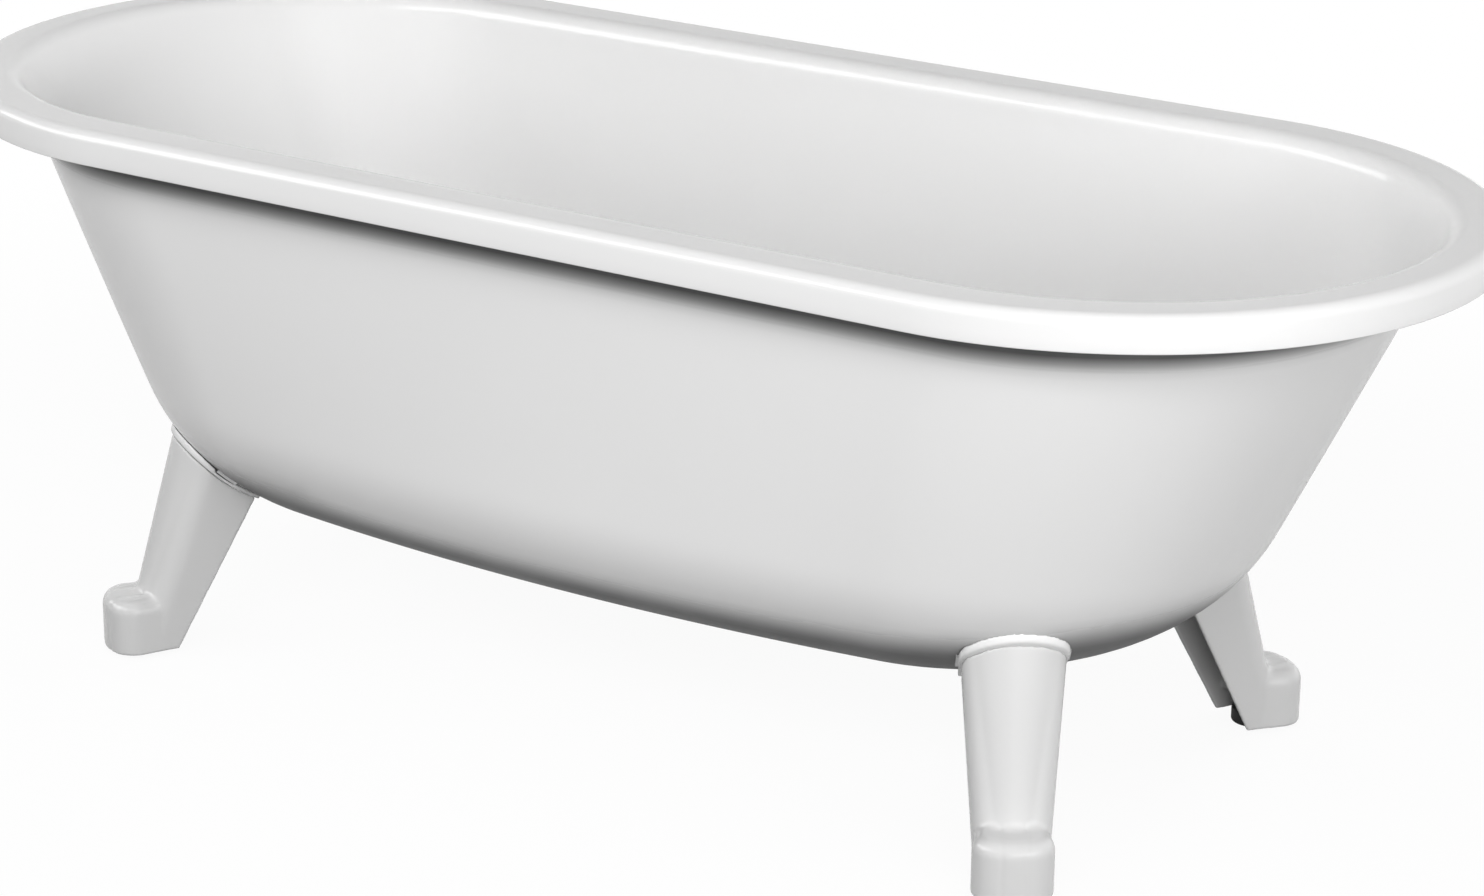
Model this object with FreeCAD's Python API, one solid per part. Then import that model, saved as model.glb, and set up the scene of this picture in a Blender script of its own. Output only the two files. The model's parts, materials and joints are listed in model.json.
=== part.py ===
import FreeCAD
import Part
import math
import os

# Freestanding double-ended steel bath on four hollow claw feet.
# Millimetres. X runs along the bath, Y across it, Z up from the floor; the origin is on the
# floor under the middle of the bath, and the bath is the same left to right and front to back.

# Rim: a flat top with round ends, an outer roll, and a lip turned down all the way round.
rim_length = 1700.0
rim_width = 750.0
rim_height = 604.0
lip_drop = 35.0
rim_roll = 12.0
throat_roll = 20.0

# Body: one sheet, leaning in at the sides and more at the ends, round into a flat floor.
sheet = 3.5
body_depth = 447.0
side_inset = 59.0
side_lean = math.radians(3.4)
side_corner = 139.0
end_inset = 45.0
end_lean = math.radians(26.2)
end_corner = 220.0
barrel = 0.10
barrel_least = 0.004
level_step = 60.0
corner_steps = 6
throat_steps = 4

# Outlet in the middle of the floor: a pressed dish and the hole in it.
dish_r = 43.0
dish_drop = 3.0
outlet_r = 26.0

# Waste: a flanged brass body with a 1 1/2 inch tail, held by a back nut under the floor.
flange_r = 36.0
flange_thick = 2.6
tail_r = 23.9
tail_bore_r = 20.0
tail_end_z = 116.0
tail_neck_r = 23.2
tail_neck_z = 137.0
tail_neck_length = 2.5
seal_thick = 1.5
seal_outer_r = 34.0
gasket_thick = 5.0
gasket_outer_r = 37.0
slip_thick = 1.5
back_nut_thick = 8.0
back_nut_across = 64.0
thread_gap = 0.1
spider_z = 130.0
spider_thick = 6.0
hub_r = 8.0
spider_arm = 4.0
seat_depth = 4.0
seat_open_r = 24.5

# Push-to-open plug: a cap on a sleeve that slides 8 mm on a post in the waste's spider.
cap_r = 30.0
cap_gap = 0.6
cap_edge = 2.4
cap_crown = 2.6
cap_round = 1.1
plug_seal_gap = 0.4
sleeve_r = 9.0
sleeve_bore_r = 6.2
sleeve_length = 24.0
sleeve_roof = 2.0
post_r = 6.12
post_length = 14.0
post_root_r = 4.0
spring_wire_r = 0.45
spring_r = 4.7
spring_turns = 5

# Feet: hollow castings, open towards the bath, each a raked shank above a three-toed foot.
# The plan is turned about the toe's tip, which stands at foot_x, foot_y in each quarter.
foot_x = 560.0
foot_y = 286.0
foot_turn = 57.0
foot_lift = 4.0
foot_wall = 5.0
hollow_reach = 20.0
sole_back = 71.0
back_rake = 0.525
shank_front = 37.0
front_rake = 0.285
shank_width = 69.0
width_flare = 0.15
shank_round = 30.0
shank_crown_r = 64.0
shank_top = 262.0
toe_height = 60.0
toe_width = 78.0
toe_round = 27.0
toe_crown_r = 60.0
toe_back = 62.0
toe_top_round = 15.0
instep_round = 8.0
groove_r = 3.2
groove_rise = 2.2
groove_place = 12.5

# Collar: a white saddle between each foot and the body, standing a little proud of the foot.
# Its heel stands off the body, so the two touch only at the front.
collar_thick = 7.0
collar_proud = 3.0
collar_gap = 0.3
collar_bottom = 150.0
heel_drop = 4.0
heel_pull = 3.0

# Fixing: a pressed cup on a strap welded to the body, and one M10 bolt up through the foot.
fixing_back = 125.0
slope_reach = 10.0
bolt_r = 4.95
bolt_hole_r = 5.5
bolt_across = 17.0
bolt_head = 6.4
washer_r = 10.5
washer_thick = 2.0
cup_half = 24.0
cup_depth = 16.0
plate = 3.0
strap_half_length = 54.0
strap_half_width = 13.0
strap_play = 1.0
web_thick = 6.0
web_half = 34.0
weld_nut_thick = 8.0
thread_bore_r = 5.05

# Levelling: an M10 screw in each foot with a rubber pad, 12 mm of travel.
screw_back = 46.0
screw_r = 5.0
screw_top_z = 60.0
pad_r = 22.0
pad_thick = 16.0
pad_round = 3.0
pad_socket = 7.0
screw_hex_across = 15.0
screw_hex_thick = 6.0
lock_gap = 0.3
lock_nut_thick = 6.0
lock_nut_across = 17.0
sole_web_back = 66.0
boss_thick = 10.0
boss_r = 9.0

# Under the floor: two felt sound pads, and the earth tag with its screw and nut.
felt_length = 300.0
felt_width = 220.0
felt_thick = 3.0
felt_round = 25.0
felt_start = 70.0
tag_x = -400.0
tag_length = 26.0
tag_width = 14.0
tag_drop = 22.0
tag_thick = 2.0
tag_screw_r = 2.95
tag_hole_r = 3.2
tag_hole_drop = 13.0
tag_across = 10.0
tag_screw_length = 14.0
tag_head = 4.0

# Heights that follow from the sizes above.
floor_under_z = rim_height - body_depth
dish_under_z = floor_under_z - dish_drop
dish_z = dish_under_z + sheet
flange_z = dish_z + seal_thick
flange_top_z = flange_z + flange_thick
cap_z = flange_top_z + cap_gap
post_z = spider_z + spider_thick
post_top_z = post_z + post_length
lock_nut_z = pad_thick + screw_hex_thick + lock_gap
sole_web_z = lock_nut_z + lock_nut_thick

# Cutters run this far past the faces they cut; heights closer than a hair count as equal.
past = 1.0
hair = 0.001

up = FreeCAD.Vector(0, 0, 1)


def at(x, y, z):
    return FreeCAD.Vector(x, y, z)


def disc(r, z0, z1, x=0.0, y=0.0):
    return Part.makeCylinder(r, z1 - z0, at(x, y, z0), up)


def ring(r_out, r_in, z0, z1, x=0.0, y=0.0):
    return disc(r_out, z0, z1, x, y).cut(disc(r_in, z0 - past, z1 + past, x, y))


def hexagon(across, z0, z1):
    corner = across / 2 / math.cos(math.pi / 6)
    ends = [at(corner * math.cos(k * math.pi / 3), corner * math.sin(k * math.pi / 3), z0)
            for k in range(7)]
    return Part.Face(Part.makePolygon(ends)).extrude(at(0, 0, z1 - z0))


def arc(start, middle, end):
    return Part.Arc(start, middle, end).toShape()


# The body's outline is worked out at any depth below the rim, for a surface a given distance
# inside the outer face (negative is outside it).

def half_span(top, lean, corner, roll, first, floor, depth):
    """Half length or half width: throat roll, straight wall, then the corner to the floor."""
    roll_end = first + roll * (1 - math.sin(lean))
    if depth < roll_end:
        centre = top - math.tan(lean) * (first + roll) + roll / math.cos(lean)
        return centre - math.sqrt(max(roll ** 2 - (first + roll - depth) ** 2, 0))
    corner_start = floor - corner * (1 - math.sin(lean))
    if depth < corner_start:
        return top - math.tan(lean) * depth
    centre = top - math.tan(lean) * corner_start - corner * math.cos(lean)
    return centre + math.sqrt(max(corner ** 2 - (depth - floor + corner) ** 2, 0))


def body_spans(depth, inside, rolled):
    roll = throat_roll - (sheet - inside) if rolled else 0.0
    first = sheet - inside if rolled else -body_depth
    floor = body_depth - inside
    end = half_span(rim_length / 2 - end_inset - inside / math.cos(end_lean), end_lean,
                    end_corner - inside, roll, first, floor, depth)
    side = half_span(rim_width / 2 - side_inset - inside / math.cos(side_lean), side_lean,
                     side_corner - inside, roll, first, floor, depth)
    tip = side * (1 - barrel_least - barrel * (max(depth, 0) / body_depth) ** 2)
    flank = ((end - tip) ** 2 + side ** 2 - tip ** 2) / (2 * (side - tip))
    return end, side, tip, flank


def body_outline(depth, inside, rolled=False):
    """Four arcs: a tip at each end and a long flank at each side, tangent to one another."""
    end, side, tip, flank = body_spans(depth, inside, rolled)
    z = rim_height - depth
    turn = math.atan2(flank - side, end - tip)
    join_x = end - tip + tip * math.cos(turn)
    join_y = tip * math.sin(turn)
    ends = [at(join_x, -join_y, z), at(join_x, join_y, z),
            at(-join_x, join_y, z), at(-join_x, -join_y, z)]
    middles = [at(end, 0, z), at(0, side, z), at(-end, 0, z), at(0, -side, z)]
    return Part.Wire([arc(ends[k], middles[k], ends[(k + 1) % 4]) for k in range(4)])


def body_levels(inside, rolled):
    floor = body_depth - inside
    corner = side_corner - inside
    levels = []
    if rolled:
        roll = throat_roll - (sheet - inside)
        levels += [sheet - inside + roll * (1 - math.cos(k * math.pi / 2 / throat_steps))
                   for k in range(throat_steps + 1)]
    else:
        levels.append(-level_step)
    corner_top = floor - corner
    count = int((corner_top - levels[-1]) / level_step)
    start = levels[-1]
    levels += [start + (corner_top - start) * k / count for k in range(1, count)]
    levels += [floor - corner * (1 - math.sin(k * math.pi / 2 / corner_steps))
               for k in range(corner_steps + 1)]
    return levels


def body_solid(inside, rolled=False):
    outlines = [body_outline(depth, inside, rolled) for depth in body_levels(inside, rolled)]
    return Part.makeLoft(outlines, True, False)


def body_height(x, y):
    """Height above the floor of the body's outer face over a point of the plan."""
    low, high = body_depth - end_corner, body_depth
    while high - low > hair:
        depth = (low + high) / 2
        end, side, tip, flank = body_spans(depth, 0.0, False)
        turn = math.atan2(flank - side, end - tip)
        if math.atan2(abs(y) - (side - flank), abs(x)) > turn:
            inside = math.hypot(x, abs(y) - side + flank) < flank
        else:
            inside = math.hypot(abs(x) - end + tip, y) < tip
        if inside:
            low = depth
        else:
            high = depth
    return rim_height - low


def round_ended(inset, top, bottom, roll):
    """A slab with half-round ends, inset from the rim's outline, its top edge rolled."""
    r = rim_width / 2 - inset
    half = rim_length / 2 - rim_width / 2
    bend = r * math.cos(math.pi / 4)
    wire = Part.Wire([
        Part.makeLine(at(-half, -r, bottom), at(half, -r, bottom)),
        arc(at(half, -r, bottom), at(half + bend, -bend, bottom), at(half + r, 0, bottom)),
        arc(at(half + r, 0, bottom), at(half + bend, bend, bottom), at(half, r, bottom)),
        Part.makeLine(at(half, r, bottom), at(-half, r, bottom)),
        arc(at(-half, r, bottom), at(-half - bend, bend, bottom), at(-half - r, 0, bottom)),
        arc(at(-half - r, 0, bottom), at(-half - bend, -bend, bottom), at(-half, -r, bottom))])
    slab = Part.Face(wire).extrude(at(0, 0, top - bottom))
    edges = [e for e in slab.Edges if abs(e.BoundBox.ZMin - top) < hair]
    return slab.makeFillet(roll, edges)


def tub_shell():
    lip_z = rim_height - lip_drop
    shell = round_ended(0.0, rim_height, lip_z, rim_roll)
    shell = shell.cut(round_ended(sheet, rim_height - sheet, lip_z - past, rim_roll - sheet))
    dish_foot_r = dish_r - dish_drop
    dish = Part.makeCone(dish_foot_r, dish_r + sheet, sheet, at(0, 0, dish_under_z), up)
    shell = shell.fuse([body_solid(0.0, True), dish])
    shell = shell.cut(body_solid(sheet, True))
    hollow = Part.makeCone(dish_foot_r, dish_r, dish_drop + hair, at(0, 0, dish_z), up)
    return shell.cut([hollow, disc(outlet_r, dish_under_z - past, dish_z + past)])


# Waste and plug.

def waste_body():
    """A flanged tube, necked between its two threads, with a spider across its bore."""
    body = disc(flange_r, flange_z, flange_top_z).fuse(disc(tail_r, tail_end_z, flange_z))
    edge = [e for e in body.Edges if is_ring(e, flange_r, flange_top_z)]
    body = body.makeChamfer(flange_thick / 2, edge)
    seat_z = flange_top_z - seat_depth
    seat = Part.makeCone(tail_bore_r, seat_open_r, seat_depth, at(0, 0, seat_z), up)
    neck = ring(tail_r + past, tail_neck_r, tail_neck_z, tail_neck_z + tail_neck_length)
    body = body.cut([disc(tail_bore_r, tail_end_z - past, flange_top_z + past), seat, neck])
    reach = tail_neck_r - past
    arm = Part.makeBox(reach * 2, spider_arm, spider_thick, at(-reach, -spider_arm / 2, spider_z))
    arms = [arm.rotated(at(0, 0, 0), up, k * 60) for k in range(3)]
    body = body.fuse(arms + [disc(hub_r, spider_z, post_z)])
    return body.cut(disc(post_root_r + thread_gap, spider_z - past, post_z + past))


def is_ring(edge, r, z):
    box = edge.BoundBox
    return max(abs(box.ZMax - z), abs(box.ZMin - z), abs(box.XMax - r)) < hair


def back_nut():
    top = dish_under_z - gasket_thick - slip_thick
    nut = hexagon(back_nut_across, top - back_nut_thick, top)
    return nut.cut(disc(tail_r + thread_gap, top - back_nut_thick - past, top + past))


def plug_cap():
    """A disc with a shallow dome on top and its edge rounded."""
    top = cap_z + cap_edge + cap_crown
    dome_r = (cap_r ** 2 + cap_crown ** 2) / (2 * cap_crown)
    cap = disc(cap_r, cap_z, top).common(Part.makeSphere(dome_r, at(0, 0, top - dome_r)))
    edges = [e for e in cap.Edges if e.BoundBox.ZLength < hair]
    return cap.makeFillet(cap_round, edges)


def plug_seal():
    low = flange_top_z - seat_depth
    flare = (seat_open_r - tail_bore_r) / seat_depth
    r = tail_bore_r - plug_seal_gap
    seal = Part.makeCone(r, r + flare * (cap_z - low), cap_z - low, at(0, 0, low), up)
    return seal.cut(disc(sleeve_r, low - past, cap_z + past))


def plug_sleeve():
    foot = cap_z - sleeve_length
    return disc(sleeve_r, foot, cap_z).cut(disc(sleeve_bore_r, foot - past, cap_z - sleeve_roof))


def plug_post():
    return disc(post_r, post_z, post_top_z).fuse(disc(post_root_r, spider_z, post_z))


def plug_spring():
    low = post_top_z + spring_wire_r
    height = cap_z - sleeve_roof - spring_wire_r - low
    coil = Part.makeHelix(height / spring_turns, height, spring_r)
    end = Part.Circle(at(spring_r, 0, 0), at(0, 1, 0), spring_wire_r).toShape()
    spring = Part.Wire(coil.Edges).makePipeShell([Part.Wire([end])], True, True)
    spring.translate(at(0, 0, low))
    return spring


# Under the floor.

def felt_pads():
    pads = []
    for x in (felt_start, -felt_start - felt_length):
        pad = Part.makeBox(felt_length, felt_width, felt_thick,
                           at(x, -felt_width / 2, floor_under_z - felt_thick))
        uprights = [e for e in pad.Edges if e.BoundBox.ZLength > felt_thick / 2]
        pads.append(pad.makeFillet(felt_round, uprights))
    return Part.makeCompound(pads)


def earth_tag():
    flange = Part.makeBox(tag_length, tag_width, tag_thick,
                          at(tag_x, -tag_width / 2, floor_under_z - tag_thick))
    tab = Part.makeBox(tag_thick, tag_width, tag_drop,
                       at(tag_x, -tag_width / 2, floor_under_z - tag_drop))
    return flange.fuse(tab).cut(on_tag(disc(tag_hole_r, -tag_thick, tag_thick * 2)))


def on_tag(shape):
    """Stand a shape drawn up the Z axis on the outer face of the tag, around its hole."""
    turned = shape.rotated(at(0, 0, 0), at(0, 1, 0), -90)
    return turned.translated(at(tag_x + tag_thick, 0, floor_under_z - tag_hole_drop))


def earth_screw():
    head = hexagon(tag_across, -tag_head, 0.0)
    return on_tag(head.fuse(disc(tag_screw_r, 0.0, tag_screw_length)))


def earth_nut():
    nut = hexagon(tag_across, tag_thick, tag_thick + tag_head)
    return on_tag(nut.cut(disc(tag_screw_r + thread_gap, 0.0, tag_screw_length)))


# The foot is drawn in its own plan: x outwards from the toe's tip, y across, z up.

def round_fronted(front, crown_r, r, half, back, back_half, z):
    """A closed outline, straight at the back, with a crowned front and rounded front corners."""
    crown_x = front - crown_r
    round_x = crown_x + math.sqrt((crown_r - r) ** 2 - (half - r) ** 2)
    turn = math.atan2(half - r, round_x - crown_x)
    middle = (turn + math.pi / 2) / 2
    join = (crown_x + crown_r * math.cos(turn), crown_r * math.sin(turn))
    bend = (round_x + r * math.cos(middle), half - r + r * math.sin(middle))
    return Part.Wire([
        Part.makeLine(at(back, -back_half, z), at(round_x, -half, z)),
        arc(at(round_x, -half, z), at(bend[0], -bend[1], z), at(join[0], -join[1], z)),
        arc(at(join[0], -join[1], z), at(front, 0, z), at(join[0], join[1], z)),
        arc(at(join[0], join[1], z), at(bend[0], bend[1], z), at(round_x, half, z)),
        Part.makeLine(at(round_x, half, z), at(back, back_half, z)),
        Part.makeLine(at(back, back_half, z), at(back, -back_half, z))])


def shank(bottom, top, grow=0.0, back_grow=0.0):
    outlines = []
    for z in (bottom, top):
        rise = z - foot_lift
        front = -shank_front - front_rake * (rise - toe_height) + grow
        back = -sole_back - back_rake * rise - back_grow
        half = (shank_width + width_flare * rise) / 2 + grow
        outlines.append(round_fronted(front, shank_crown_r + grow, shank_round + grow,
                                      half, back, half, z))
    return Part.makeLoft(outlines, True, True)


def toe(bottom, inset=0.0):
    top = foot_lift + toe_height - inset
    outline = round_fronted(-inset, toe_crown_r - inset, toe_round - inset, toe_width / 2 - inset,
                            -toe_back, shank_width / 2 - inset, bottom)
    block = Part.Face(outline).extrude(at(0, 0, top - bottom))
    top_edges = [e for e in block.Edges
                 if abs(e.BoundBox.ZMin - top) < hair and e.BoundBox.XMax > past - toe_back]
    return block.makeFillet(toe_top_round - inset, top_edges)


def toe_groove(y):
    """A round cutter that runs up the front of the toe, over its top edge and back to the shank."""
    front = groove_rise - toe_crown_r + math.sqrt(toe_crown_r ** 2 - y ** 2)
    top = foot_lift + toe_height + groove_rise
    r = toe_top_round + groove_rise
    cut = r * (1 - math.cos(math.pi / 4))
    path = Part.Wire([
        Part.makeLine(at(front, y, foot_lift - groove_r), at(front, y, top - r)),
        arc(at(front, y, top - r), at(front - cut, y, top - cut), at(front - r, y, top)),
        Part.makeLine(at(front - r, y, top), at(-shank_front - groove_r, y, top))])
    section = Part.Wire([Part.Circle(at(front, y, foot_lift - groove_r), up, groove_r).toShape()])
    return path.makePipeShell([section], True, True)


def in_quarter(shape):
    """Carry a shape from the foot's own plan to its place where x and y are positive."""
    turned = shape.rotated(at(0, 0, 0), up, foot_turn)
    return turned.translated(at(foot_x, foot_y, 0))


def body_height_over(back):
    turn = math.radians(foot_turn)
    return body_height(foot_x - back * math.cos(turn), foot_y - back * math.sin(turn))


def on_fixing(shape):
    """Stand a shape on the fixing bolt's axis, square to the body, z = 0 at the body's face."""
    near = body_height_over(fixing_back - slope_reach)
    far = body_height_over(fixing_back + slope_reach)
    tilt = math.degrees(math.atan2(near - far, 2 * slope_reach))
    turned = shape.rotated(at(0, 0, 0), at(0, 1, 0), -tilt)
    return in_quarter(turned.translated(at(-fixing_back, 0, body_height_over(fixing_back))))


def box_about(half_x, half_y, z0, z1):
    return Part.makeBox(half_x * 2, half_y * 2, z1 - z0, at(-half_x, -half_y, z0))


def foot_casting():
    """Walls open at the back and below, with a web for the bolt and a shelf for the screw."""
    outer = shank(foot_lift, shank_top).fuse(toe(foot_lift))
    top = foot_lift + toe_height
    instep = [e for e in outer.Edges if abs(e.BoundBox.ZMin - top) < hair
              and e.BoundBox.ZLength < hair and e.BoundBox.XMax < hair - shank_front]
    outer = in_quarter(outer.makeFillet(instep_round, instep))
    hollow = shank(foot_lift - past, shank_top + past, -foot_wall, hollow_reach)
    hollow = in_quarter(hollow.fuse(toe(foot_lift - past, foot_wall)))
    web_z = -cup_depth - web_thick
    web = on_fixing(box_about(web_half, web_half * 2, web_z, -cup_depth))
    shelf = Part.makeBox(sole_web_back, toe_width, web_thick,
                         at(-sole_web_back, -toe_width / 2, sole_web_z))
    boss = disc(boss_r, sole_web_z, sole_web_z + web_thick + boss_thick, -screw_back)
    casting = outer.cut(hollow)
    casting = casting.fuse([web.common(outer), in_quarter(shelf).common(outer), in_quarter(boss)])
    casting = casting.cut(body_solid(-collar_thick - collar_gap))
    casting = casting.cut(in_quarter(disc(thread_bore_r, 0, screw_top_z + past, -screw_back)))
    casting = casting.cut(on_fixing(disc(bolt_hole_r, web_z - past, past - cup_depth)))
    return casting.cut([in_quarter(toe_groove(y)) for y in (-groove_place, groove_place)])


def collar():
    """A slice of a larger shank between foot and body, with room for the cup and its strap."""
    saddle = in_quarter(shank(collar_bottom, shank_top, collar_proud, collar_proud))
    saddle = saddle.common(body_solid(-collar_thick - collar_gap))
    body = body_solid(-collar_gap)
    turn = math.radians(foot_turn)
    heel = at(-heel_pull * math.cos(turn), -heel_pull * math.sin(turn), -heel_drop)
    saddle = saddle.cut([body, body.translated(heel)])
    room = cup_half + strap_play
    cup_room = box_about(room, room, -cup_depth * 2, cup_depth * 2)
    strap_room = box_about(strap_half_width + strap_play, strap_half_length * 2,
                           -cup_depth, cup_depth * 2)
    strap_room = on_fixing(strap_room).common(body_solid(-plate - strap_play))
    return saddle.cut([on_fixing(cup_room), strap_room])


def bracket():
    """A strap that follows the body's face, with a square cup pressed out of its middle."""
    strap = box_about(strap_half_width, strap_half_length, -cup_depth * 2, cup_depth * 2)
    strap = on_fixing(strap).common(body_solid(-plate))
    inside = cup_half - plate
    inside = on_fixing(box_about(inside, inside, plate - cup_depth, cup_depth + past))
    cup = on_fixing(box_about(cup_half, cup_half, -cup_depth, cup_depth))
    hole = on_fixing(disc(bolt_hole_r, -cup_depth - past, plate - cup_depth + past))
    return cup.fuse(strap).cut([inside, body_solid(0.0, True), hole])


def weld_nut():
    low = plate - cup_depth
    nut = hexagon(bolt_across, low, low + weld_nut_thick)
    return on_fixing(nut.cut(disc(thread_bore_r, low - past, low + weld_nut_thick + past)))


def fixing_washer():
    top = -cup_depth - web_thick
    return on_fixing(ring(washer_r, bolt_hole_r, top - washer_thick, top))


def fixing_bolt():
    under = -cup_depth - web_thick - washer_thick
    head = hexagon(bolt_across, under - bolt_head, under)
    return on_fixing(head.fuse(disc(bolt_r, under, plate - cup_depth + weld_nut_thick)))


def foot_pad():
    pad = disc(pad_r, 0, pad_thick, -screw_back)
    pad = pad.makeFillet(pad_round, [e for e in pad.Edges if e.BoundBox.ZLength < hair])
    socket = disc(screw_r, pad_thick - pad_socket, pad_thick + past, -screw_back)
    return in_quarter(pad.cut(socket))


def level_screw():
    hex_part = hexagon(screw_hex_across, pad_thick, pad_thick + screw_hex_thick)
    stem = disc(screw_r, pad_thick - pad_socket, screw_top_z)
    return in_quarter(stem.fuse(hex_part).translated(at(-screw_back, 0, 0)))


def lock_nut():
    nut = hexagon(lock_nut_across, lock_nut_z, lock_nut_z + lock_nut_thick)
    nut = nut.cut(disc(thread_bore_r, lock_nut_z - past, sole_web_z + past))
    return in_quarter(nut.translated(at(-screw_back, 0, 0)))


# Everything at a foot is drawn once, in the rear right quarter, and mirrored to the others.

corners = {
    "rear_right": (False, False),
    "rear_left": (True, False),
    "front_right": (False, True),
    "front_left": (True, True),
}


def mirrored(shape, corner):
    across_x, across_y = corners[corner]
    if across_x:
        shape = shape.mirror(at(0, 0, 0), at(1, 0, 0))
    if across_y:
        shape = shape.mirror(at(0, 0, 0), at(0, 1, 0))
    return shape


def nodes():
    built = {
        "tub_shell": tub_shell(),
        "waste_body": waste_body(),
        "waste_flange_seal": ring(seal_outer_r, tail_r + thread_gap, dish_z, flange_z),
        "waste_gasket": ring(gasket_outer_r, tail_r + thread_gap,
                             dish_under_z - gasket_thick, dish_under_z),
        "waste_slip_washer": ring(gasket_outer_r, tail_r + thread_gap,
                                  dish_under_z - gasket_thick - slip_thick,
                                  dish_under_z - gasket_thick),
        "waste_back_nut": back_nut(),
        "plug_cap": plug_cap(),
        "plug_seal": plug_seal(),
        "plug_sleeve": plug_sleeve(),
        "plug_post": plug_post(),
        "plug_spring": plug_spring(),
        "floor_felt_pads": felt_pads(),
        "earth_tag": earth_tag(),
        "earth_screw": earth_screw(),
        "earth_nut": earth_nut(),
    }
    at_each_foot = {
        "foot": foot_casting(),
        "collar": collar(),
        "bracket": bracket(),
        "level_lock_nut": lock_nut(),
        "level_screw": level_screw(),
        "level_pad": foot_pad(),
    }
    for corner in corners:
        for name, shape in at_each_foot.items():
            built[corner + "_" + name] = mirrored(shape, corner)
    grouped = {
        "fixing_bolts": fixing_bolt(),
        "fixing_washers": fixing_washer(),
        "fixing_weld_nuts": weld_nut(),
    }
    for name, shape in grouped.items():
        built[name] = Part.makeCompound([mirrored(shape, corner) for corner in corners])
    return built


os.makedirs("parts", exist_ok=True)
for name, shape in nodes().items():
    shape.exportStep("parts/" + name + ".step")
    print(name, len(shape.Solids), "solids,", round(shape.Volume / 1000, 1), "cm3")
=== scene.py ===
import bpy
import json
import math
from mathutils import Matrix, Vector


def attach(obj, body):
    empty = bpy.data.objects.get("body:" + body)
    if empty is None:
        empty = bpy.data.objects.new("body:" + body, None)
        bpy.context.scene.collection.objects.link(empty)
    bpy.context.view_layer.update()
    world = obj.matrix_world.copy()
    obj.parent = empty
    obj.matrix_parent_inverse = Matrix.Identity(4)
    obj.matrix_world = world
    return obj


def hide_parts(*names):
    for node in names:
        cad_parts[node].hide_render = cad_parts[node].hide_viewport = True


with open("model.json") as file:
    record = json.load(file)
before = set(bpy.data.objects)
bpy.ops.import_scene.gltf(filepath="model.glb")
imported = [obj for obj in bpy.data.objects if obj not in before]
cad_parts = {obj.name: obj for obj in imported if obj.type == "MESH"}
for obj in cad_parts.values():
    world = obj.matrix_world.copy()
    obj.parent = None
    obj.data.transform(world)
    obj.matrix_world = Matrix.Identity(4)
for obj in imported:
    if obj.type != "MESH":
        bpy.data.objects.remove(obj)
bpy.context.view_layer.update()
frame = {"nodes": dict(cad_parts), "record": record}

nodes = frame["nodes"]
print("frame loaded:", len(nodes), "CAD nodes")

# Camera: where the photograph was taken from, in metres.
camera = {
    "place": (2.24302, -3.28313, 1.63764),
    "turn": -0.585964,   # to the left of +Y, radians
    "tilt": 0.333376,    # downwards
    "roll": 0.009027,
    "lens": 98.8628,
    "sensor": 36.0,
    "reach": 60,
}


def makeCamera():
    turn, tilt, roll = camera["turn"], camera["tilt"], camera["roll"]
    ahead = Vector((math.sin(turn) * math.cos(tilt), math.cos(turn) * math.cos(tilt), -math.sin(tilt)))
    level = Vector((math.cos(turn), -math.sin(turn), 0))
    upright = level.cross(ahead)
    right = level * math.cos(roll) + upright * math.sin(roll)
    above = upright * math.cos(roll) - level * math.sin(roll)
    data = bpy.data.cameras.new("photoCamera")
    data.lens = camera["lens"]
    data.sensor_width = camera["sensor"]
    data.clip_end = camera["reach"]
    holder = bpy.data.objects.new("photoCamera", data)
    bpy.context.scene.collection.objects.link(holder)
    turned = Matrix((right, above, -ahead)).transposed().to_4x4()
    holder.matrix_world = Matrix.Translation(camera["place"]) @ turned
    bpy.context.scene.camera = holder


makeCamera()
print("camera placed")


# Materials. A Wire is a node's output; sums and products of wires add Math nodes.
class Wire:
    def __init__(self, board, socket):
        self.board = board
        self.socket = socket

    def math(self, operation, first, second):
        return self.board.add("ShaderNodeMath", {"operation": operation}, {0: first, 1: second})

    def __add__(self, other):
        return self.math("ADD", self, other)

    def __radd__(self, other):
        return self.math("ADD", other, self)

    def __sub__(self, other):
        return self.math("SUBTRACT", self, other)

    def __rsub__(self, other):
        return self.math("SUBTRACT", other, self)

    def __mul__(self, other):
        return self.math("MULTIPLY", self, other)

    def __rmul__(self, other):
        return self.math("MULTIPLY", other, self)

    def __getitem__(self, name):
        return Wire(self.board, self.socket.node.outputs[name])


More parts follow.
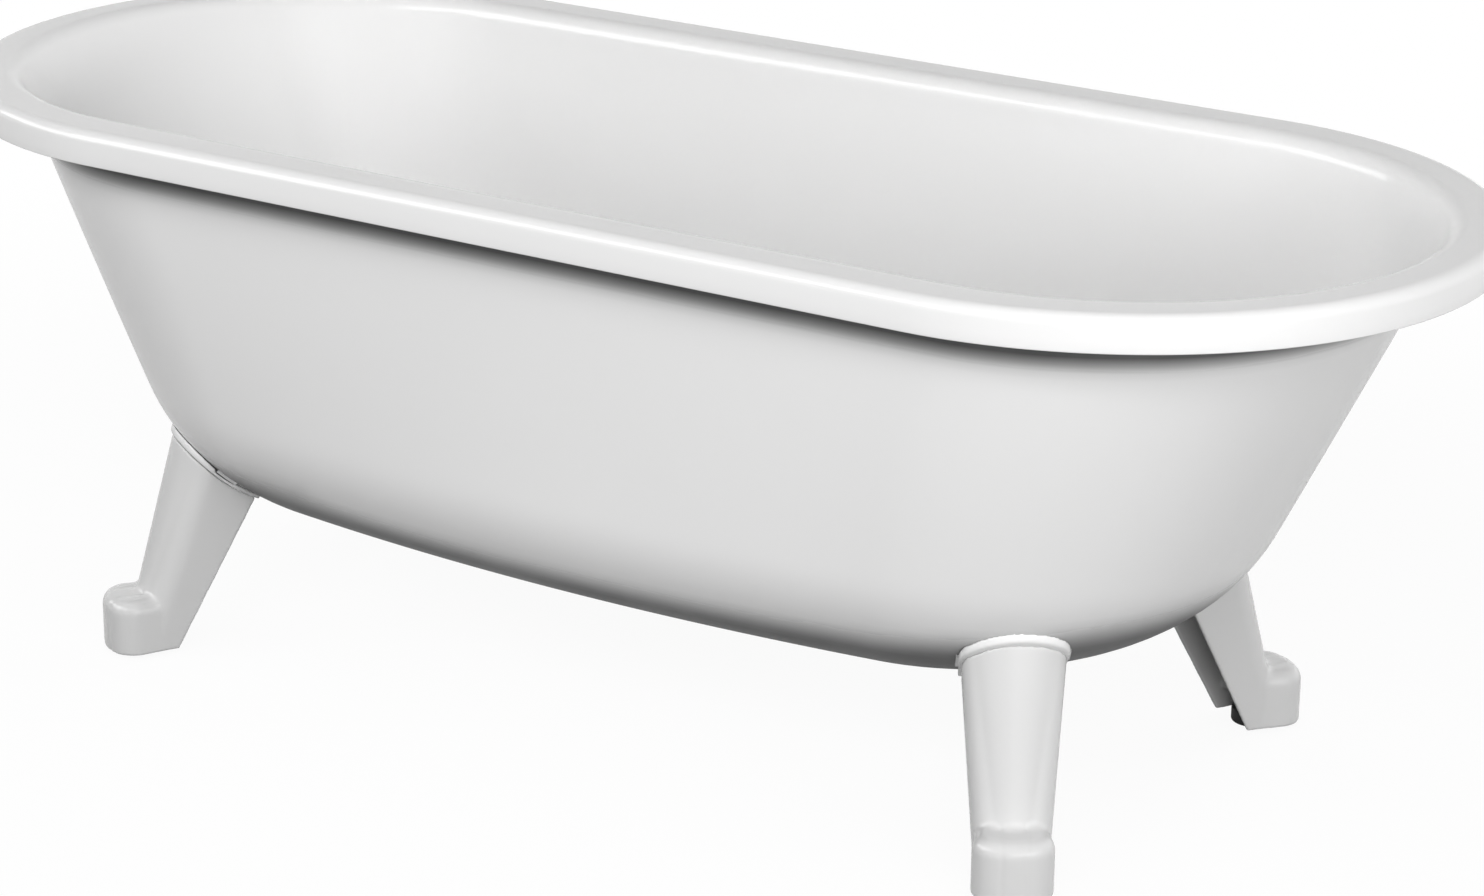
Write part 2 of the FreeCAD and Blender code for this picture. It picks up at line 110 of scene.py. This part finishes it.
class Board:
    def __init__(self, tree):
        self.tree = tree
        tree.nodes.clear()

    def add(self, kind, settings={}, inputs={}):
        node = self.tree.nodes.new(kind)
        for key, value in settings.items():
            if key == "stops":
                while len(node.color_ramp.elements) < len(value):
                    node.color_ramp.elements.new(0.5)
                for element, (place, colour) in zip(node.color_ramp.elements, value):
                    element.position = place
                    element.color = (*colour, 1)
            else:
                setattr(node, key, value)
        for key, value in inputs.items():
            if isinstance(value, Wire):
                self.tree.links.new(value.socket, node.inputs[key])
            else:
                node.inputs[key].default_value = value
        return Wire(self, node.outputs[0]) if node.outputs else None

    def noise(self, place, scale, detail=3.0, roughness=0.5):
        return self.add("ShaderNodeTexNoise", {}, {
            "Vector": place, "Scale": scale, "Detail": detail, "Roughness": roughness})["Fac"]

    def ramp(self, value, *stops):
        tones = [(place, (tone, tone, tone)) for place, tone in stops]
        colour = self.add("ShaderNodeValToRGB", {"stops": tones}, {"Fac": value})
        return self.add("ShaderNodeRGBToBW", {}, {"Color": colour})

    def fade(self, value, near, share):
        return self.add("ShaderNodeMapRange", {"interpolation_type": "SMOOTHSTEP"}, {
            "Value": value, "From Min": near[0], "From Max": near[1],
            "To Min": share[0], "To Max": share[1]})

    def stretched(self, place, scale):
        return self.add("ShaderNodeMapping", {}, {"Vector": place, "Scale": scale})

    def bump(self, height, distance, strength=1.0, under=None):
        inputs = {"Height": height, "Distance": distance, "Strength": strength}
        if under:
            inputs["Normal"] = under
        return self.add("ShaderNodeBump", {}, inputs)


# ShaderNodeMix has several outputs named Result; the colour one is the third.
def mixColour(board, mask, low, high):
    mixed = board.add("ShaderNodeMix", {"data_type": "RGBA"}, {0: mask, 6: low, 7: high})
    return Wire(board, mixed.socket.node.outputs[2])


def newMaterial(name):
    material = bpy.data.materials.new(name)
    material.use_nodes = True
    return material, Board(material.node_tree)


def finishMaterial(board, inputs):
    shader = board.add("ShaderNodeBsdfPrincipled", {}, inputs)
    board.add("ShaderNodeOutputMaterial", {}, {"Surface": shader})


def shade(tone, warmth=0.0):
    return (tone * (1 + warmth), tone, tone * (1 - warmth), 1)


enamel = {
    "tone": 0.77,
    "warmth": 0.001,
    "drift": 0.02, "patchScale": 2.6,      # how far the white drifts in broad patches
    "cloudScale": 11.0,
    "specks": 0.12, "speckScale": 900.0, "speckTone": 0.7,
    "gloss": 0.17, "cloudDull": 0.03,
    "filmDull": 0.06, "filmScale": 7.0,    # soap film, drawn out up and down
    "coat": 0.3, "coatGloss": 0.07,
    "peel": 0.000012, "peelScale": 260.0,  # the fine ripple of the fired glaze, metres
    "grainScale": 95.0,                    # the castings' sand, showing through
    "ior": 1.5,
}
# Painted shade: a near-black coat laid over the white under the tub's floor and up inside its rim, where
# shade falls.
paintedShadeCoat = {"tone": 0.03, "least": 0.88, "dull": 0.30}
coats = {
    "bath_enamel": {"name": "bathEnamel", "share": 1.0, "wave": 0.0010, "waveScale": 7.0, "grain": 0.0},
    "foot_enamel": {"name": "castEnamel", "share": 0.79, "wave": 0.0006, "waveScale": 26.0, "grain": 0.00012},
    "collar_enamel": {"name": "collarEnamel", "share": 1.01, "wave": 0.0004, "waveScale": 24.0, "grain": 0.0},
}


def enamelMaterial(coat):
    material, board = newMaterial(coat["name"])
    tone, warmth, drift = enamel["tone"] * coat["share"], enamel["warmth"], enamel["drift"]
    place = board.add("ShaderNodeTexCoord")["Object"]
    patch = board.noise(place, enamel["patchScale"], 2.0)
    cloud = board.noise(place, enamel["cloudScale"], 4.0)
    specks = board.ramp(board.noise(place, enamel["speckScale"], 1.0), (0.0, 0.0), (0.74, 0.0), (0.80, 1.0))
    film = board.noise(board.stretched(place, (1.0, 1.0, 0.35)), enamel["filmScale"], 5.0, 0.6)
    film = board.ramp(film, (0.42, 0.0), (0.70, 1.0))
    white = mixColour(board, patch, shade(tone * (1 - drift), warmth), shade(tone * (1 + drift), warmth))
    white = mixColour(board, specks * enamel["specks"], white, shade(tone * enamel["speckTone"], 0.02))
    # Painted shade: this darkens the white towards near black under the tub's floor and inside its rim.
    shadeMask = board.add("ShaderNodeAttribute", {"attribute_name": "groundCoat"})["Fac"]
    shadeMask = shadeMask * (paintedShadeCoat["least"] + (1 - paintedShadeCoat["least"]) * cloud)
    colour = mixColour(board, shadeMask, white, shade(paintedShadeCoat["tone"], -0.02))
    surface = board.bump(board.noise(place, coat["waveScale"], 1.0), coat["wave"], 0.35)
    surface = board.bump(board.noise(place, enamel["peelScale"], 2.0), enamel["peel"], 0.6, surface)
    if coat["grain"]:
        surface = board.bump(board.noise(place, enamel["grainScale"], 3.0), coat["grain"], 0.6, surface)
    dull = enamel["gloss"] + enamel["filmDull"] * film + enamel["cloudDull"] * cloud
    finishMaterial(board, {
        "Base Color": colour,
        "Roughness": dull + paintedShadeCoat["dull"] * shadeMask,
        "Coat Weight": enamel["coat"] - enamel["coat"] * shadeMask,
        "Coat Roughness": enamel["coatGloss"],
        "IOR": enamel["ior"],
        "Normal": surface})
    return material


chrome = {
    "tone": 0.72, "smearTone": 0.92,
    "smearScale": 38.0, "polish": (900.0, 60.0, 900.0), "polishDepth": 0.000004,
    "gloss": 0.05, "smearDull": 0.10, "polishDull": 0.03,
}


def chromeMaterial():
    material, board = newMaterial("polishedChrome")
    place = board.add("ShaderNodeTexCoord")["Object"]
    smear = board.ramp(board.noise(place, chrome["smearScale"], 5.0, 0.65), (0.40, 0.0), (0.72, 1.0))
    hairline = board.noise(board.stretched(place, chrome["polish"]), 1.0, 2.0)
    tone = chrome["tone"]
    finishMaterial(board, {
        "Base Color": mixColour(board, smear, shade(tone, -0.01), shade(tone * chrome["smearTone"], 0.01)),
        "Metallic": 1.0,
        "Roughness": chrome["gloss"] + chrome["smearDull"] * smear + chrome["polishDull"] * hairline,
        "Normal": board.bump(hairline, chrome["polishDepth"], 0.5)})
    return material


brass = {
    "bright": (0.62, 0.47, 0.22, 1), "tarnished": (0.40, 0.29, 0.13, 1),
    "tarnishScale": 60.0, "turning": (40.0, 40.0, 2600.0), "turningDepth": 0.00001,
    "gloss": 0.22, "tarnishDull": 0.16, "turningDull": 0.08,
}


def brassMaterial():
    material, board = newMaterial("machinedBrass")
    place = board.add("ShaderNodeTexCoord")["Object"]
    tarnish = board.ramp(board.noise(place, brass["tarnishScale"], 5.0, 0.6), (0.40, 0.0), (0.70, 1.0))
    turning = board.noise(board.stretched(place, brass["turning"]), 1.0, 1.0)
    finishMaterial(board, {
        "Base Color": mixColour(board, tarnish, brass["bright"], brass["tarnished"]),
        "Metallic": 1.0,
        "Roughness": brass["gloss"] + brass["tarnishDull"] * tarnish + brass["turningDull"] * turning,
        "Normal": board.bump(turning, brass["turningDepth"], 0.6)})
    return material


zinc = {
    "plateTone": 0.52, "plateSpangle": 420.0, "wireTone": 0.60, "wireSpangle": 900.0,
    "dark": 0.86, "light": 1.1, "metallic": 0.9,
    "cloudScale": 45.0, "cloudDepth": 0.00003,
    "gloss": 0.26, "spangleDull": 0.14, "cloudDull": 0.14,
}


def zincMaterial(name, tone, scale):
    material, board = newMaterial(name)
    place = board.add("ShaderNodeTexCoord")["Object"]
    spangle = board.add("ShaderNodeTexVoronoi", {}, {"Vector": place, "Scale": scale})["Distance"]
    cloud = board.noise(place, zinc["cloudScale"], 5.0, 0.6)
    finishMaterial(board, {
        "Base Color": mixColour(board, cloud, shade(tone * zinc["dark"], -0.02),
                                shade(tone * zinc["light"], 0.01)),
        "Metallic": zinc["metallic"],
        "Roughness": zinc["gloss"] + zinc["spangleDull"] * spangle + zinc["cloudDull"] * cloud,
        "Normal": board.bump(cloud, zinc["cloudDepth"], 0.5)})
    return material


rubber = {
    "clean": (0.018, 0.018, 0.019, 1), "dusty": (0.07, 0.068, 0.064, 1),
    "grainScale": 1400.0, "grainDepth": 0.00005, "dustScale": 55.0,
    "gloss": 0.55, "dustDull": 0.25,
}


def rubberMaterial():
    material, board = newMaterial("blackRubber")
    place = board.add("ShaderNodeTexCoord")["Object"]
    grain = board.noise(place, rubber["grainScale"], 2.0)
    dust = board.ramp(board.noise(place, rubber["dustScale"], 6.0, 0.7), (0.48, 0.0), (0.80, 1.0))
    finishMaterial(board, {
        "Base Color": mixColour(board, dust, rubber["clean"], rubber["dusty"]),
        "Roughness": rubber["gloss"] + rubber["dustDull"] * dust,
        "Normal": board.bump(grain, rubber["grainDepth"], 0.5)})
    return material


plastic = {
    "dark": (0.70, 0.70, 0.68, 1), "light": (0.78, 0.78, 0.76, 1), "patchScale": 30.0,
    "grainScale": 700.0, "grainDepth": 0.00003, "gloss": 0.38, "grainDull": 0.12,
}


def plasticMaterial():
    material, board = newMaterial("whitePlastic")
    place = board.add("ShaderNodeTexCoord")["Object"]
    grain = board.noise(place, plastic["grainScale"], 2.0)
    patch = board.noise(place, plastic["patchScale"])
    finishMaterial(board, {
        "Base Color": mixColour(board, patch, plastic["dark"], plastic["light"]),
        "Roughness": plastic["gloss"] + plastic["grainDull"] * grain,
        "Normal": board.bump(grain, plastic["grainDepth"], 0.4)})
    return material


felt = {
    "dark": (0.10, 0.10, 0.105, 1), "light": (0.30, 0.30, 0.305, 1),
    "fibre": (1500.0, 420.0, 1500.0), "tuftScale": 120.0, "pile": 0.0006,
    "gloss": 0.85, "tuftDull": 0.1, "sheen": 0.3,
}


def feltMaterial():
    material, board = newMaterial("greyFelt")
    place = board.add("ShaderNodeTexCoord")["Object"]
    fibre = board.noise(board.stretched(place, felt["fibre"]), 1.0, 4.0, 0.7)
    tuft = board.noise(place, felt["tuftScale"], 5.0, 0.7)
    finishMaterial(board, {
        "Base Color": mixColour(board, fibre, felt["dark"], felt["light"]),
        "Roughness": felt["gloss"] + felt["tuftDull"] * tuft,
        "Sheen Weight": felt["sheen"],
        "Normal": board.bump(fibre + tuft, felt["pile"], 0.8)})
    return material


finishes = {slot: enamelMaterial(coat) for slot, coat in coats.items()}
finishes["chrome"] = chromeMaterial()
finishes["brass"] = brassMaterial()
finishes["spring_steel"] = zincMaterial("springWire", zinc["wireTone"], zinc["wireSpangle"])
finishes["zinc_steel"] = zincMaterial("zincPlate", zinc["plateTone"], zinc["plateSpangle"])
finishes["black_rubber"] = rubberMaterial()
finishes["white_plastic"] = plasticMaterial()
finishes["grey_felt"] = feltMaterial()
print("materials made:", len(finishes))


def dress(piece, finish):
    piece.data.materials.clear()
    piece.data.materials.append(finishes[finish])


def smoothFaces(mesh):
    mesh.polygons.foreach_set("use_smooth", [True] * len(mesh.polygons))


# The tub is one sheet, drawn as rings that run round it, from the outlet in its floor up the
# inside, over the rim and down the outside.
tub = {
    "length": 1.700, "width": 0.750, "height": 0.604, "depth": 0.447, "sheet": 0.0035,
    "lipDrop": 0.035, "rimRoll": 0.012, "throatRoll": 0.020,
    "lipEdge": 0.0014, "lipStraight": 0.010,            # the lip's cut edge, and the flat above it
    "sideInset": 0.059, "sideLean": math.radians(3.4), "sideCorner": 0.139,
    "endInset": 0.045, "endLean": math.radians(26.2), "endCorner": 0.220,
    "barrel": 0.10, "barrelLeast": 0.004,               # how much tighter the tips get towards the floor
    "dishTop": 0.043, "dishFoot": 0.040, "dishDrop": 0.003, "outlet": 0.026,
    "sideSteps": 72, "endSteps": 88, "wallSteps": 26, "cornerSteps": 30, "rollSteps": 12, "edgeSteps": 4,
    "wallStop": 1.55,                                   # corner radii above the floor
}
# Where extra rings lie: shares of the way across, and for the dish's slope the share fallen too.
ringShares = {
    "dish": ((0.0, 0.97), (0.25, 0.80), (0.5, 0.5), (0.75, 0.20), (1.0, 0.03)),
    "floor": (0.04, 0.15, 0.35, 0.6, 0.85, 0.97),
    "rimFlat": (0.08, 0.3, 0.6, 0.9),
    "rimUnder": (0.3, 0.7, 0.95),
    "floorUnder": (0.05, 0.5, 0.95),
    "dishUnder": (0.0, 0.12, 0.5, 0.88, 1.0),
}
# Where the painted shade comes in over the white. Low on the tub that goes by how far a face looks
# down, and inside the rim by how far below the lip's edge it lies.
paintedShadeReach = {"floor": (0.50, 0.76), "rim": (0.024, 0.046), "rimLooks": -0.03, "rimSheet": 0.7}


def halfSpan(top, lean, corner, roll, first, floor, depth):
    if depth < first + roll * (1 - math.sin(lean)):
        centre = top - math.tan(lean) * (first + roll) + roll / math.cos(lean)
        return centre - math.sqrt(max(roll ** 2 - (first + roll - depth) ** 2, 0))
    cornerStart = floor - corner * (1 - math.sin(lean))
    if depth < cornerStart:
        return top - math.tan(lean) * depth
    centre = top - math.tan(lean) * cornerStart - corner * math.cos(lean)
    return centre + math.sqrt(max(corner ** 2 - (depth - floor + corner) ** 2, 0))


def ovalAt(depth, inside):
    sheet = tub["sheet"]
    roll = tub["throatRoll"] - (sheet - inside)
    first = sheet - inside
    floor = tub["depth"] - inside
    end = halfSpan(tub["length"] / 2 - tub["endInset"] - inside / math.cos(tub["endLean"]),
                   tub["endLean"], tub["endCorner"] - inside, roll, first, floor, depth)
    side = halfSpan(tub["width"] / 2 - tub["sideInset"] - inside / math.cos(tub["sideLean"]),
                    tub["sideLean"], tub["sideCorner"] - inside, roll, first, floor, depth)
    tip = side * (1 - tub["barrelLeast"] - tub["barrel"] * (depth / tub["depth"]) ** 2)
    flank = ((end - tip) ** 2 + side ** 2 - tip ** 2) / (2 * (side - tip))
    return end, side, tip, flank


def ovalRing(depth, inside):
    end, side, tip, flank = ovalAt(depth, inside)
    return ringPoints(end, side, tip, flank, tub["height"] - depth)


def roundEndedRing(inset, z):
    r = tub["width"] / 2 - inset
    return ringPoints(tub["length"] / 2 - inset, r, r, None, z)


def circleRing(r, z, like):
    points = []
    for p in like:
        flat = math.hypot(p.x, p.y)
        points.append(Vector((p.x / flat * r, p.y / flat * r, z)))
    return points


def ringPoints(end, side, tip, flank, z):
    # a quarter: along the flank from the middle, then round the tip to the axis
    middle = end - tip
    quarter = []
    for k in range(tub["sideSteps"]):
        x = middle * k / tub["sideSteps"]
        y = side if flank is None else math.sqrt(flank ** 2 - x ** 2) - (flank - side)
        quarter.append((x, y))
    turn = math.pi / 2 if flank is None else math.atan2(flank - side, middle)
    for k in range(tub["endSteps"] + 1):
        angle = math.pi / 2 * (1 - k / tub["endSteps"])
        c, s = math.cos(angle), math.sin(angle)
        if angle <= turn:
            reach = tip
        else:
            along = middle * c + (flank - side) * s
            apart = middle ** 2 + (flank - side) ** 2 - flank ** 2
            reach = -along + math.sqrt(max(along ** 2 - apart, 0))
        quarter.append((middle + reach * c, reach * s))
    back = [(-x, y) for x, y in reversed(quarter[1:])]
    half = quarter + [(x, -y) for x, y in reversed(quarter[:-1])]
    left = [(-x, -y) for x, y in quarter[1:]] + [(-x, y) for x, y in reversed(quarter[1:-1])]
    return [Vector((x, y, z)) for x, y in half + left]


def tween(first, second, share, z):
    return [Vector((a.x + (b.x - a.x) * share, a.y + (b.y - a.y) * share, z))
            for a, b in zip(first, second)]


def sheetSide(inside):
    # depths down one face of the sheet, from the rim's flat to the floor
    sheet = tub["sheet"]
    roll = tub["throatRoll"] - (sheet - inside)
    first = sheet - inside
    floor = tub["depth"] - inside
    corner = tub["sideCorner"] - inside
    depths = [first + roll * (1 - math.cos(k * math.pi / 2 / tub["rollSteps"]))
              for k in range(tub["rollSteps"] + 1)]
    wallTop, wallEnd = depths[-1], floor - corner * tub["wallStop"]
    depths += [wallTop + (wallEnd - wallTop) * k / tub["wallSteps"]
               for k in range(1, tub["wallSteps"])]
    depths += [floor - (floor - wallEnd) * (1 - math.sin(k * math.pi / 2 / tub["cornerSteps"]))
               for k in range(tub["cornerSteps"] + 1)]
    return depths


def tubRings():
    height, sheet = tub["height"], tub["sheet"]
    floorZ = height - tub["depth"] + sheet
    under = height - tub["depth"]
    inner = [ovalRing(depth, sheet) for depth in sheetSide(sheet)]
    outer = [ovalRing(depth, 0.0) for depth in sheetSide(0.0)]
    last = inner[-1]
    dishRim = circleRing(tub["dishTop"] + 0.002, floorZ, last)
    dishFoot = circleRing(tub["dishFoot"] - 0.001, floorZ - tub["dishDrop"], last)
    hole = circleRing(tub["outlet"], floorZ - tub["dishDrop"], last)
    rings = [hole, tween(hole, dishFoot, 0.9, floorZ - tub["dishDrop"])]
    for share, fall in ringShares["dish"]:
        rings.append(tween(dishFoot, dishRim, share, floorZ - tub["dishDrop"] * fall))
    for share in ringShares["floor"]:
        rings.append(tween(dishRim, last, share, floorZ))
    rings += reversed(inner)
    flatEdge = roundEndedRing(tub["rimRoll"], height)
    for share in ringShares["rimFlat"]:
        rings.append(tween(inner[0], flatEdge, share, height))
    roll = tub["rimRoll"]
    for k in range(tub["rollSteps"] + 1):
        angle = k * math.pi / 2 / tub["rollSteps"]
        rings.append(roundEndedRing(roll * (1 - math.sin(angle)), height - roll * (1 - math.cos(angle))))
    lip, edge, steps = height - tub["lipDrop"], tub["lipEdge"], tub["edgeSteps"]
    rings.append(roundEndedRing(0.0, lip + tub["lipStraight"]))
    for k in range(steps + 1):
        angle = k * math.pi / 2 / steps
        rings.append(roundEndedRing(edge * (1 - math.cos(angle)), lip + edge * (1 - math.sin(angle))))
    for k in range(steps + 1):
        angle = k * math.pi / 2 / steps
        rings.append(roundEndedRing(sheet - edge * (1 - math.sin(angle)), lip + edge * (1 - math.cos(angle))))
    rings.append(roundEndedRing(sheet, lip + tub["lipStraight"]))
    roll -= sheet
    for k in range(tub["rollSteps"] + 1):
        angle = math.pi / 2 * (1 - k / tub["rollSteps"])
        rings.append(roundEndedRing(sheet + roll * (1 - math.sin(angle)),
                                    height - sheet - roll * (1 - math.cos(angle))))
    turned = rings[-1]
    for share in ringShares["rimUnder"]:
        rings.append(tween(turned, outer[0], share, height - sheet))
    rings += outer
    dishRim = circleRing(tub["dishTop"] + sheet, under, last)
    dishFoot = circleRing(tub["dishFoot"], under - tub["dishDrop"], last)
    for share in ringShares["floorUnder"]:
        rings.append(tween(outer[-1], dishRim, share, under))
    for share in ringShares["dishUnder"]:
        rings.append(tween(dishRim, dishFoot, share, under - tub["dishDrop"] * share))
    rings.append(circleRing(tub["outlet"], under - tub["dishDrop"], last))
    return rings


def between(value, low, high):
    share = min(max((value - low) / (high - low), 0), 1)
    return share * share * (3 - 2 * share)


def groundCoat(mesh):
    # 1 where shade is painted in: on faces that look down under the floor, and up inside the rolled rim
    lip = tub["height"] - tub["lipDrop"]
    values = []
    for vertex in mesh.vertices:
        x, y, z = vertex.co
        down = -vertex.normal.z
        if z < lip - tub["depth"] / 2:
            values.append(between(down, *paintedShadeReach["floor"]))
            continue
        past = max(abs(x) - (tub["length"] - tub["width"]) / 2, 0)
        inFrom = tub["width"] / 2 - math.hypot(past, y)       # in from the rim's outline
        shadedUnderRim = down > paintedShadeReach["rimLooks"] and inFrom > tub["sheet"] * paintedShadeReach["rimSheet"]
        values.append(1 - between(lip - z, *paintedShadeReach["rim"]) if shadedUnderRim else 0.0)
    coat = mesh.attributes.new("groundCoat", "FLOAT", "POINT")
    coat.data.foreach_set("value", values)


def makeTub():
    rings = tubRings()
    count = len(rings[0])
    points = [p for ring in rings for p in ring]
    faces = []
    for k in range(len(rings)):
        low, high = k * count, ((k + 1) % len(rings)) * count
        for j in range(count):
            nextJ = (j + 1) % count
            faces.append((low + j, low + nextJ, high + nextJ, high + j))
    mesh = bpy.data.meshes.new("tubSheet")
    mesh.from_pydata(points, [], faces)
    mesh.validate()
    groundCoat(mesh)
    smoothFaces(mesh)
    piece = bpy.data.objects.new("tubSheet", mesh)
    bpy.context.scene.collection.objects.link(piece)
    dress(piece, "bath_enamel")
    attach(piece, "bath")
    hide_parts("tub_shell")
    return piece


tubSheet = makeTub()
print("tub drawn:", len(tubSheet.data.polygons), "faces")

# Castings and collars: the CAD shape with every edge softened by its enamel.
castings = {
    "voxel": 0.0016,
    "footRounds": 14,
    "collarRounds": 6,
    "pull": 0.5,
}


def soften(node, rounds):
    remesh = node.modifiers.new("enamelSkin", "REMESH")
    remesh.mode = "VOXEL"
    remesh.voxel_size = castings["voxel"]
    remesh.use_smooth_shade = True
    smooth = node.modifiers.new("softEdges", "SMOOTH")
    smooth.factor = castings["pull"]
    smooth.iterations = rounds


# Everything else keeps its CAD shape, with a fine bevel where it is cut metal.
bevels = {
    "bracket": 0.0006, "level_lock_nut": 0.0007, "level_screw": 0.0006, "fixing_bolts": 0.0007,
    "fixing_washers": 0.0004, "fixing_weld_nuts": 0.0006, "earth_tag": 0.0004, "earth_screw": 0.0004,
    "earth_nut": 0.0004, "waste_back_nut": 0.0010, "waste_body": 0.0003,
}
sharp = math.radians(30)


def bevelled(node, width):
    bevel = node.modifiers.new("worn", "BEVEL")
    bevel.width = width
    bevel.segments = 2
    bevel.limit_method = "ANGLE"
    bevel.angle_limit = sharp
    bevel.harden_normals = True


slots = {part["node"]: part["material_slot"] for part in frame["record"]["subparts"]}
for name, node in nodes.items():
    dress(node, slots[name])
    if name.endswith("_foot"):
        soften(node, castings["footRounds"])
    elif name.endswith("_collar"):
        soften(node, castings["collarRounds"])
    for ending, width in bevels.items():
        if name.endswith(ending):
            bevelled(node, width)
print("CAD nodes dressed")

# Stage: a pale floor that fades into a white room.
stage = {
    "floorSize": 16.0,
    "floorTone": 0.90,     # as the camera and the reflections see it
    "bounceTone": 0.08,    # as it throws light back up at the bath
    "fade": (0.9, 2.6),    # how far out the floor turns into the white of the room
    "glow": (0.93, 1.0),   # share of that white, near and far
    "mirrorFade": (1.0, 6.0),
    "mirrorGlow": (0.05, 0.9),
    "ambient": 0.10,
}


def seenDirectly(board):
    path = board.add("ShaderNodeLightPath")
    mirrored = path.math("MAXIMUM", path["Is Glossy Ray"], path["Is Transmission Ray"])
    return path["Is Camera Ray"], mirrored, path.math("MAXIMUM", path["Is Camera Ray"], mirrored)


def makeFloor():
    half = stage["floorSize"] / 2
    mesh = bpy.data.meshes.new("studioFloor")
    mesh.from_pydata([(-half, -half, 0), (half, -half, 0), (half, half, 0), (-half, half, 0)],
                     [], [(0, 1, 2, 3)])
    floor = bpy.data.objects.new("studioFloor", mesh)
    bpy.context.scene.collection.objects.link(floor)
    material, board = newMaterial("studioFloor")
    place = board.add("ShaderNodeTexCoord")["Object"]
    away = board.add("ShaderNodeVectorMath", {"operation": "LENGTH"}, {0: place})["Value"]
    byEye, mirrored, seen = seenDirectly(board)
    glowing = byEye * board.fade(away, stage["fade"], stage["glow"])
    glowing = glowing + mirrored * board.fade(away, stage["mirrorFade"], stage["mirrorGlow"])
    tone = mixColour(board, seen, shade(stage["bounceTone"]), shade(stage["floorTone"]))
    matt = board.add("ShaderNodeBsdfDiffuse", {}, {"Color": tone})
    glow = board.add("ShaderNodeEmission", {}, {"Color": (1, 1, 1, 1), "Strength": 1.0})
    surface = board.add("ShaderNodeMixShader", {}, {0: glowing, 1: matt, 2: glow})
    board.add("ShaderNodeOutputMaterial", {}, {"Surface": surface})
    mesh.materials.append(material)


def makeRoom():
    world = bpy.data.worlds.new("studioRoom")
    bpy.context.scene.world = world
    world.use_nodes = True
    board = Board(world.node_tree)
    dim = board.add("ShaderNodeBackground", {}, {"Color": (1, 1, 1, 1), "Strength": stage["ambient"]})
    white = board.add("ShaderNodeBackground", {}, {"Color": (1, 1, 1, 1), "Strength": 1.0})
    mixed = board.add("ShaderNodeMixShader", {}, {0: seenDirectly(board)[2], 1: dim, 2: white})
    board.add("ShaderNodeOutputWorld", {}, {"Surface": mixed})


# Lamps: low wide softboxes all round, and a narrow beam from above into the tub. Most stay out
# of the reflections, so that no bright bar crosses the inside of the tub.
lamps = {
    "front": {"turn": 20, "rise": 32, "power": 76, "mirrored": False},
    "right": {"turn": 55, "rise": 14, "power": 88, "mirrored": False},
    "end": {"turn": 88, "rise": 9, "power": 22, "mirrored": False},
    "rightGlint": {"turn": 60, "rise": 20, "power": 12, "mirrored": True},
    "left": {"turn": -30, "rise": 32, "power": 36, "mirrored": True},
    "side": {"turn": -60, "rise": 20, "power": 34, "mirrored": True},
    "back": {"turn": 165, "rise": 7, "power": 125, "mirrored": False},
    "backLeft": {"turn": -125, "rise": 8, "power": 80, "mirrored": False},
    "over": {"turn": 0, "rise": 90, "power": 1.1, "mirrored": False, "size": (1.2, 0.24), "spread": 9},
}
softbox = {"size": (3.6, 1.0), "away": 4.2}
aimHeight = 0.3


def makeLamps():
    aim = Vector((0, 0, aimHeight))
    for name, lamp in lamps.items():
        data = bpy.data.lights.new(name, "AREA")
        data.shape = "RECTANGLE"
        data.size, data.size_y = lamp.get("size", softbox["size"])
        data.spread = math.radians(lamp.get("spread", 180))
        data.energy = lamp["power"]
        holder = bpy.data.objects.new(name, data)
        bpy.context.scene.collection.objects.link(holder)
        turn, rise = math.radians(lamp["turn"]), math.radians(lamp["rise"])
        out = Vector((math.sin(turn) * math.cos(rise), -math.cos(turn) * math.cos(rise), math.sin(rise)))
        holder.visible_glossy = lamp["mirrored"]
        holder.location = aim + out * softbox["away"]
        holder.rotation_euler = (-out).to_track_quat("-Z", "Y").to_euler()


makeFloor()
makeRoom()
makeLamps()
bpy.context.scene.view_settings.view_transform = "Standard"
print("stage and lamps set")
